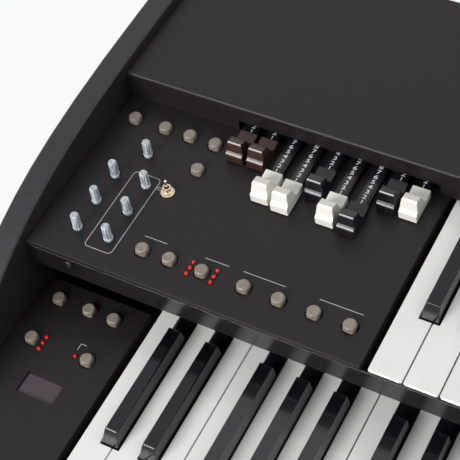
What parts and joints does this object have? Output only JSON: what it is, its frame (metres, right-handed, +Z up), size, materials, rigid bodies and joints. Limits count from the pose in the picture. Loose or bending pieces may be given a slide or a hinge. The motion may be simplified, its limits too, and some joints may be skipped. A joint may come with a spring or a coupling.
{
  "type": "portable drawbar organ",
  "caption": "Portable drawbar organ with two staggered manuals between shaped cheek boards, drawbars, buttons, bare control shafts and a rear cover.",
  "frame": {"origin": "on the surface that the feet stand on, under the middle of the case", "axes": "+X along the keys from bass to treble, +Y from the player to the back, +Z up"},
  "size_m": [0.9726, 0.45, 0.1605],
  "materials": {
    "cheek": "satin moulding",
    "satin_black": "satin black paint",
    "slip_black": "gloss black paint",
    "shelf_board": "black sealed board",
    "board_green": "glass-filled board",
    "lens_smoke": "smoked clear",
    "zinc_steel": "zinc plated",
    "key_white": "polished",
    "key_black": "polished",
    "cap_brown": "polished",
    "cap_ivory": "polished",
    "cap_black": "polished",
    "button_grey": "matt",
    "shaft_smoke": "translucent",
    "nickel": "plated"
  },
  "bodies": {
    "case": {"left_cheek": "cheek", "right_cheek": "cheek", "base_pan": "satin_black", "front_slip": "slip_black", "upper_key_slip": "slip_black", "manual_shelf": "shelf_board", "rear_cover": "satin_black", "rear_panel": "satin_black", "upper_control_panel": "satin_black", "lower_control_panel": "satin_black", "blank_panel": "satin_black", "upper_control_board": "board_green", "lower_control_board": "board_green", "display_window": "lens_smoke", "main_board": "board_green", "drawbar_frame": "zinc_steel", "upper_keyboard": "key_white", "lower_keyboard": "key_white"},
    "drawbar_1": {"drawbar_1": "cap_brown"},
    "drawbar_2": {"drawbar_2": "cap_brown"},
    "drawbar_3": {"drawbar_3": "cap_ivory"},
    "drawbar_4": {"drawbar_4": "cap_ivory"},
    "drawbar_5": {"drawbar_5": "cap_black"},
    "drawbar_6": {"drawbar_6": "cap_ivory"},
    "drawbar_7": {"drawbar_7": "cap_black"},
    "drawbar_8": {"drawbar_8": "cap_black"},
    "drawbar_9": {"drawbar_9": "cap_ivory"},
    "upper_octave_button": {"upper_octave_button": "button_grey"},
    "upper_preset_a_button": {"upper_preset_a_button": "button_grey"},
    "upper_preset_b_button": {"upper_preset_b_button": "button_grey"},
    "manual_upper_button": {"manual_upper_button": "button_grey"},
    "manual_lower_button": {"manual_lower_button": "button_grey"},
    "vibrato_upper_button": {"vibrato_upper_button": "button_grey"},
    "vibrato_lower_button": {"vibrato_lower_button": "button_grey"},
    "vibrato_type_button": {"vibrato_type_button": "button_grey"},
    "percussion_on_button": {"percussion_on_button": "button_grey"},
    "percussion_soft_button": {"percussion_soft_button": "button_grey"},
    "percussion_fast_button": {"percussion_fast_button": "button_grey"},
    "percussion_third_button": {"percussion_third_button": "button_grey"},
    "lower_octave_button": {"lower_octave_button": "button_grey"},
    "lower_preset_a_button": {"lower_preset_a_button": "button_grey"},
    "lower_preset_b_button": {"lower_preset_b_button": "button_grey"},
    "organ_type_button": {"organ_type_button": "button_grey"},
    "pedals_button": {"pedals_button": "button_grey"},
    "volume_knob": {"volume_knob": "shaft_smoke"},
    "click_knob": {"click_knob": "shaft_smoke"},
    "percussion_knob": {"percussion_knob": "shaft_smoke"},
    "assignable_knob": {"assignable_knob": "shaft_smoke"},
    "drive_level_knob": {"drive_level_knob": "shaft_smoke"},
    "overdrive_knob": {"overdrive_knob": "shaft_smoke"},
    "tone_knob": {"tone_knob": "shaft_smoke"},
    "toggle_lever": {"toggle_lever": "nickel"},
    "lower_key_c2": {"lower_key_c2": "key_white"},
    "lower_key_c_sharp2": {"lower_key_c_sharp2": "key_black"},
    "lower_key_d2": {"lower_key_d2": "key_white"},
    "lower_key_d_sharp2": {"lower_key_d_sharp2": "key_black"},
    "lower_key_e2": {"lower_key_e2": "key_white"},
    "upper_key_c2": {"upper_key_c2": "key_white"},
    "upper_key_c_sharp2": {"upper_key_c_sharp2": "key_black"},
    "upper_key_d2": {"upper_key_d2": "key_white"}
  },
  "joints": [
    {"name": "drawbar_1_slide", "type": "slide", "parent": "case", "child": "drawbar_1", "axis": [0, -1, 0], "range_m": [-0.0046, 0.0322]},
    {"name": "drawbar_2_slide", "type": "slide", "parent": "case", "child": "drawbar_2", "axis": [0, -1, 0], "range_m": [-0.0046, 0.0322]},
    {"name": "drawbar_3_slide", "type": "slide", "parent": "case", "child": "drawbar_3", "axis": [0, -1, 0], "range_m": [-0.0299, 0.0069]},
    {"name": "drawbar_4_slide", "type": "slide", "parent": "case", "child": "drawbar_4", "axis": [0, -1, 0], "range_m": [-0.0322, 0.0046]},
    {"name": "drawbar_5_slide", "type": "slide", "parent": "case", "child": "drawbar_5", "axis": [0, -1, 0], "range_m": [-0.0138, 0.023]},
    {"name": "drawbar_6_slide", "type": "slide", "parent": "case", "child": "drawbar_6", "axis": [0, -1, 0], "range_m": [-0.03036, 0.00644]},
    {"name": "drawbar_7_slide", "type": "slide", "parent": "case", "child": "drawbar_7", "axis": [0, -1, 0], "range_m": [-0.0322, 0.0046]},
    {"name": "drawbar_8_slide", "type": "slide", "parent": "case", "child": "drawbar_8", "axis": [0, -1, 0], "range_m": [-0.0046, 0.0322]},
    {"name": "drawbar_9_slide", "type": "slide", "parent": "case", "child": "drawbar_9", "axis": [0, -1, 0], "range_m": [-0.0046, 0.0322]},
    {"name": "upper_octave_button_press", "type": "slide", "parent": "case", "child": "upper_octave_button", "axis": [0, 0, -1], "range_m": [0, 0.0008], "stiffness_N_per_m": 800, "springref_m": -0.001},
    {"name": "upper_preset_a_button_press", "type": "slide", "parent": "case", "child": "upper_preset_a_button", "axis": [0, 0, -1], "range_m": [0, 0.0008], "stiffness_N_per_m": 800, "springref_m": -0.001},
    {"name": "upper_preset_b_button_press", "type": "slide", "parent": "case", "child": "upper_preset_b_button", "axis": [0, 0, -1], "range_m": [0, 0.0008], "stiffness_N_per_m": 800, "springref_m": -0.001},
    {"name": "manual_upper_button_press", "type": "slide", "parent": "case", "child": "manual_upper_button", "axis": [0, 0, -1], "range_m": [0, 0.0008], "stiffness_N_per_m": 800, "springref_m": -0.001},
    {"name": "manual_lower_button_press", "type": "slide", "parent": "case", "child": "manual_lower_button", "axis": [0, 0, -1], "range_m": [0, 0.0008], "stiffness_N_per_m": 800, "springref_m": -0.001},
    {"name": "vibrato_upper_button_press", "type": "slide", "parent": "case", "child": "vibrato_upper_button", "axis": [0, 0, -1], "range_m": [0, 0.0008], "stiffness_N_per_m": 800, "springref_m": -0.001},
    {"name": "vibrato_lower_button_press", "type": "slide", "parent": "case", "child": "vibrato_lower_button", "axis": [0, 0, -1], "range_m": [0, 0.0008], "stiffness_N_per_m": 800, "springref_m": -0.001},
    {"name": "vibrato_type_button_press", "type": "slide", "parent": "case", "child": "vibrato_type_button", "axis": [0, 0, -1], "range_m": [0, 0.0008], "stiffness_N_per_m": 800, "springref_m": -0.001},
    {"name": "percussion_on_button_press", "type": "slide", "parent": "case", "child": "percussion_on_button", "axis": [0, 0, -1], "range_m": [0, 0.0008], "stiffness_N_per_m": 800, "springref_m": -0.001},
    {"name": "percussion_soft_button_press", "type": "slide", "parent": "case", "child": "percussion_soft_button", "axis": [0, 0, -1], "range_m": [0, 0.0008], "stiffness_N_per_m": 800, "springref_m": -0.001},
    {"name": "percussion_fast_button_press", "type": "slide", "parent": "case", "child": "percussion_fast_button", "axis": [0, 0, -1], "range_m": [0, 0.0008], "stiffness_N_per_m": 800, "springref_m": -0.001},
    {"name": "percussion_third_button_press", "type": "slide", "parent": "case", "child": "percussion_third_button", "axis": [0, 0, -1], "range_m": [0, 0.0008], "stiffness_N_per_m": 800, "springref_m": -0.001},
    {"name": "lower_octave_button_press", "type": "slide", "parent": "case", "child": "lower_octave_button", "axis": [0, 0, -1], "range_m": [0, 0.0008], "stiffness_N_per_m": 800, "springref_m": -0.001},
    {"name": "lower_preset_a_button_press", "type": "slide", "parent": "case", "child": "lower_preset_a_button", "axis": [0, 0, -1], "range_m": [0, 0.0008], "stiffness_N_per_m": 800, "springref_m": -0.001},
    {"name": "lower_preset_b_button_press", "type": "slide", "parent": "case", "child": "lower_preset_b_button", "axis": [0, 0, -1], "range_m": [0, 0.0008], "stiffness_N_per_m": 800, "springref_m": -0.001},
    {"name": "organ_type_button_press", "type": "slide", "parent": "case", "child": "organ_type_button", "axis": [0, 0, -1], "range_m": [0, 0.0008], "stiffness_N_per_m": 800, "springref_m": -0.001},
    {"name": "pedals_button_press", "type": "slide", "parent": "case", "child": "pedals_button", "axis": [0, 0, -1], "range_m": [0, 0.0008], "stiffness_N_per_m": 800, "springref_m": -0.001},
    {"name": "volume_knob_turn", "type": "hinge", "parent": "case", "child": "volume_knob", "pos_m": [-0.42775, 0.0244, 0.1285], "axis": [0, 0, 1], "range_deg": [-150, 150]},
    {"name": "click_knob_turn", "type": "hinge", "parent": "case", "child": "click_knob", "pos_m": [-0.44025, -0.0006, 0.1285], "axis": [0, 0, 1], "range_deg": [-150, 150]},
    {"name": "percussion_knob_turn", "type": "hinge", "parent": "case", "child": "percussion_knob", "pos_m": [-0.44025, -0.0256, 0.1285], "axis": [0, 0, 1], "range_deg": [-150, 150]},
    {"name": "assignable_knob_turn", "type": "hinge", "parent": "case", "child": "assignable_knob", "pos_m": [-0.44025, -0.0506, 0.1285], "axis": [0, 0, 1], "range_deg": [-150, 150]},
    {"name": "drive_level_knob_turn", "type": "hinge", "parent": "case", "child": "drive_level_knob", "pos_m": [-0.41525, -0.0006, 0.1285], "axis": [0, 0, 1], "range_deg": [-150, 150]},
    {"name": "overdrive_knob_turn", "type": "hinge", "parent": "case", "child": "overdrive_knob", "pos_m": [-0.41525, -0.0256, 0.1285], "axis": [0, 0, 1], "range_deg": [-150, 150]},
    {"name": "tone_knob_turn", "type": "hinge", "parent": "case", "child": "tone_knob", "pos_m": [-0.41575, -0.0506, 0.1285], "axis": [0, 0, 1], "range_deg": [-150, 150]},
    {"name": "toggle_lever_flip", "type": "hinge", "parent": "case", "child": "toggle_lever", "pos_m": [-0.39785, -0.0008, 0.1307], "axis": [1, 0, 0], "range_deg": [-12, 12]},
    {"name": "lower_key_c2_hinge", "type": "hinge", "parent": "case", "child": "lower_key_c2", "pos_m": [-0.3747, 0.003, 0.06405], "axis": [1, 0, 0], "range_deg": [0, 2.35], "stiffness_Nm_per_rad": 0.5, "springref_deg": -14.32},
    {"name": "lower_key_c_sharp2_hinge", "type": "hinge", "parent": "case", "child": "lower_key_c_sharp2", "pos_m": [-0.3606, 0.003, 0.06405], "axis": [1, 0, 0], "range_deg": [0, 2.35], "stiffness_Nm_per_rad": 0.5, "springref_deg": -14.32},
    {"name": "lower_key_d2_hinge", "type": "hinge", "parent": "case", "child": "lower_key_d2", "pos_m": [-0.3465, 0.003, 0.06405], "axis": [1, 0, 0], "range_deg": [0, 2.35], "stiffness_Nm_per_rad": 0.5, "springref_deg": -14.32},
    {"name": "lower_key_d_sharp2_hinge", "type": "hinge", "parent": "case", "child": "lower_key_d_sharp2", "pos_m": [-0.3324, 0.003, 0.06405], "axis": [1, 0, 0], "range_deg": [0, 2.35], "stiffness_Nm_per_rad": 0.5, "springref_deg": -14.32},
    {"name": "lower_key_e2_hinge", "type": "hinge", "parent": "case", "child": "lower_key_e2", "pos_m": [-0.3183, 0.003, 0.06405], "axis": [1, 0, 0], "range_deg": [0, 2.35], "stiffness_Nm_per_rad": 0.5, "springref_deg": -14.32},
    {"name": "upper_key_c2_hinge", "type": "hinge", "parent": "case", "child": "upper_key_c2", "pos_m": [-0.2102, 0.14, 0.12075], "axis": [1, 0, 0], "range_deg": [0, 2.35], "stiffness_Nm_per_rad": 0.5, "springref_deg": -14.32},
    {"name": "upper_key_c_sharp2_hinge", "type": "hinge", "parent": "case", "child": "upper_key_c_sharp2", "pos_m": [-0.1961, 0.14, 0.12075], "axis": [1, 0, 0], "range_deg": [0, 2.35], "stiffness_Nm_per_rad": 0.5, "springref_deg": -14.32},
    {"name": "upper_key_d2_hinge", "type": "hinge", "parent": "case", "child": "upper_key_d2", "pos_m": [-0.182, 0.14, 0.12075], "axis": [1, 0, 0], "range_deg": [0, 2.35], "stiffness_Nm_per_rad": 0.5, "springref_deg": -14.32}
  ]
}
